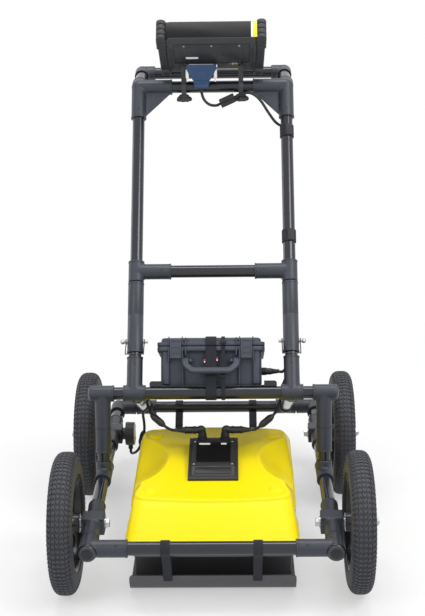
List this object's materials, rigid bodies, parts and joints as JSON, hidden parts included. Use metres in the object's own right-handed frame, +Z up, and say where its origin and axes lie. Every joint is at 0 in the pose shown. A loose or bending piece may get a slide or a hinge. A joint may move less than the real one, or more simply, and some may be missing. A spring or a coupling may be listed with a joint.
{
  "type": "ground penetrating radar cart",
  "caption": "Push cart for ground survey: tube frame on tyred wheels, radar antenna slung between the axles, battery case, leaning handle and a tilting display.",
  "frame": {"origin": "on the ground, under the middle of the whole cart's box", "axes": "+Z up, -Y the way the cart is pushed, +X to the right as seen from the front"},
  "size_m": [0.7296, 1.0516, 1.1763],
  "materials": {
    "tube_black": "glossy black fibreglass tube",
    "fitting_charcoal": "matt moulded charcoal",
    "zinc_steel": "bright zinc-plated steel",
    "tyre_rubber": "dark grey tread rubber",
    "rim_black": "glossy black moulding",
    "shell_yellow": "saturated yellow, satin gloss",
    "base_black": "matt black moulding",
    "skid_grey": "dark grey sheet, worn",
    "module_black": "black powder coat",
    "webbing_black": "black woven webbing",
    "lead_rubber": "black cable jacket",
    "plug_black": "black moulded plug",
    "case_grey": "dark blue-grey texture",
    "tray_black": "black painted sheet",
    "element_brass": "etched plate",
    "seal_rubber": "soft black seal",
    "battery_blue": "shrink-wrapped block",
    "housing_black": "black fine texture",
    "panel_black": "black label plate, bare",
    "grip_rubber": "ribbed black rubber",
    "screen_glass": "dark screen glass",
    "hood_blue": "blue moulded hood",
    "clamp_black": "black moulding",
    "odometer_black": "black moulding"
  },
  "bodies": {
    "frame": {"rail_tubes": "tube_black", "cross_tubes": "tube_black", "strut_tubes": "tube_black", "front_corner_fittings": "fitting_charcoal", "axle_blocks": "fitting_charcoal", "axle_bolts": "zinc_steel", "wheel_bearings": "zinc_steel", "post_fittings": "fitting_charcoal", "rear_fittings": "fitting_charcoal", "handle_base_tees": "fitting_charcoal", "handle_sleeves": "fitting_charcoal", "upright_tubes": "tube_black", "handle_mid_tees": "fitting_charcoal", "handle_cross_tubes": "tube_black", "handle_corner_fittings": "fitting_charcoal", "push_bar_tubes": "tube_black", "push_bar_elbows": "fitting_charcoal", "lock_pins": "zinc_steel", "cable_straps": "webbing_black", "battery_tray": "tray_black", "case_base": "case_grey", "case_seal": "seal_rubber", "battery_pack": "battery_blue", "case_strap": "webbing_black", "power_plug": "plug_black", "frame_leads": "lead_rubber", "odometer_case": "odometer_black", "hanging_straps": "webbing_black", "sensor_leads": "lead_rubber", "display_lead": "lead_rubber"},
    "lid": {"case_lid": "case_grey", "lid_strap": "webbing_black"},
    "latch_left": {"latch_left": "case_grey"},
    "latch_right": {"latch_right": "case_grey"},
    "case_handle": {"case_handle": "case_grey"},
    "bail_left": {"bail_left": "zinc_steel"},
    "bail_right": {"bail_right": "zinc_steel"},
    "wheel_front_left": {"tyre_front_left": "tyre_rubber", "rim_front_left": "rim_black"},
    "wheel_front_right": {"tyre_front_right": "tyre_rubber", "rim_front_right": "rim_black"},
    "wheel_rear_left": {"tyre_rear_left": "tyre_rubber", "rim_rear_left": "rim_black", "odometer_axle": "zinc_steel"},
    "wheel_rear_right": {"tyre_rear_right": "tyre_rubber", "rim_rear_right": "rim_black"},
    "antenna": {"antenna_shell": "shell_yellow", "antenna_base": "base_black", "antenna_elements": "element_brass", "skid_tray": "skid_grey", "radar_module": "module_black", "sensor_plugs": "plug_black"},
    "display": {"display_housing": "housing_black", "display_back_panel": "panel_black", "display_grips": "grip_rubber", "display_screen": "screen_glass", "data_plug": "hood_blue", "display_clamps": "clamp_black"},
    "knob_left": {"knob_left": "clamp_black"},
    "knob_right": {"knob_right": "clamp_black"}
  },
  "joints": [
    {"name": "front_left_spin", "type": "hinge", "parent": "frame", "child": "wheel_front_left", "pos_m": [-0.32, -0.36985, 0.156], "axis": [1, 0, 0], "continuous": true},
    {"name": "front_right_spin", "type": "hinge", "parent": "frame", "child": "wheel_front_right", "pos_m": [0.32, -0.36985, 0.156], "axis": [1, 0, 0], "continuous": true},
    {"name": "rear_left_spin", "type": "hinge", "parent": "frame", "child": "wheel_rear_left", "pos_m": [-0.32, 0.11015, 0.156], "axis": [1, 0, 0], "continuous": true},
    {"name": "rear_right_spin", "type": "hinge", "parent": "frame", "child": "wheel_rear_right", "pos_m": [0.32, 0.11015, 0.156], "axis": [1, 0, 0], "continuous": true},
    {"name": "antenna_float", "type": "slide", "parent": "frame", "child": "antenna", "axis": [0, 0, 1], "range_m": [0, 0.03], "deforming": ["hanging_straps", "sensor_leads"]},
    {"name": "display_tilt", "type": "hinge", "parent": "frame", "child": "display", "pos_m": [0, 0.37235, 0.99623], "axis": [1, 0, 0], "range_deg": [-35, 15], "deforming": ["display_lead"]},
    {"name": "knob_left_turn", "type": "hinge", "parent": "display", "child": "knob_left", "pos_m": [-0.072, 0.35835, 0.96], "axis": [0, 0, 1], "range_deg": [0, 720]},
    {"name": "knob_right_turn", "type": "hinge", "parent": "display", "child": "knob_right", "pos_m": [0.072, 0.35835, 0.96], "axis": [0, 0, 1], "range_deg": [0, 720]},
    {"name": "lid_hinge", "type": "hinge", "parent": "frame", "child": "lid", "pos_m": [-0.005, 0.141, 0.35524], "axis": [-1, 0, 0], "range_deg": [0, 95]},
    {"name": "latch_left_hinge", "type": "hinge", "parent": "lid", "child": "latch_left", "pos_m": [-0.089, -0.02296, 0.45621], "axis": [-1, 0, 0], "range_deg": [0, 80]},
    {"name": "latch_right_hinge", "type": "hinge", "parent": "lid", "child": "latch_right", "pos_m": [0.079, -0.02296, 0.45621], "axis": [-1, 0, 0], "range_deg": [0, 80]},
    {"name": "case_handle_hinge", "type": "hinge", "parent": "frame", "child": "case_handle", "pos_m": [-0.005, -0.04705, 0.41164], "axis": [-1, 0, 0], "range_deg": [0, 90]},
    {"name": "bail_left_swing", "type": "hinge", "parent": "frame", "child": "bail_left", "pos_m": [-0.186, -0.01137, 0.44821], "axis": [-1, 0, 0], "range_deg": [0, 110]},
    {"name": "bail_right_swing", "type": "hinge", "parent": "frame", "child": "bail_right", "pos_m": [0.186, -0.01137, 0.44821], "axis": [-1, 0, 0], "range_deg": [0, 110]}
  ]
}
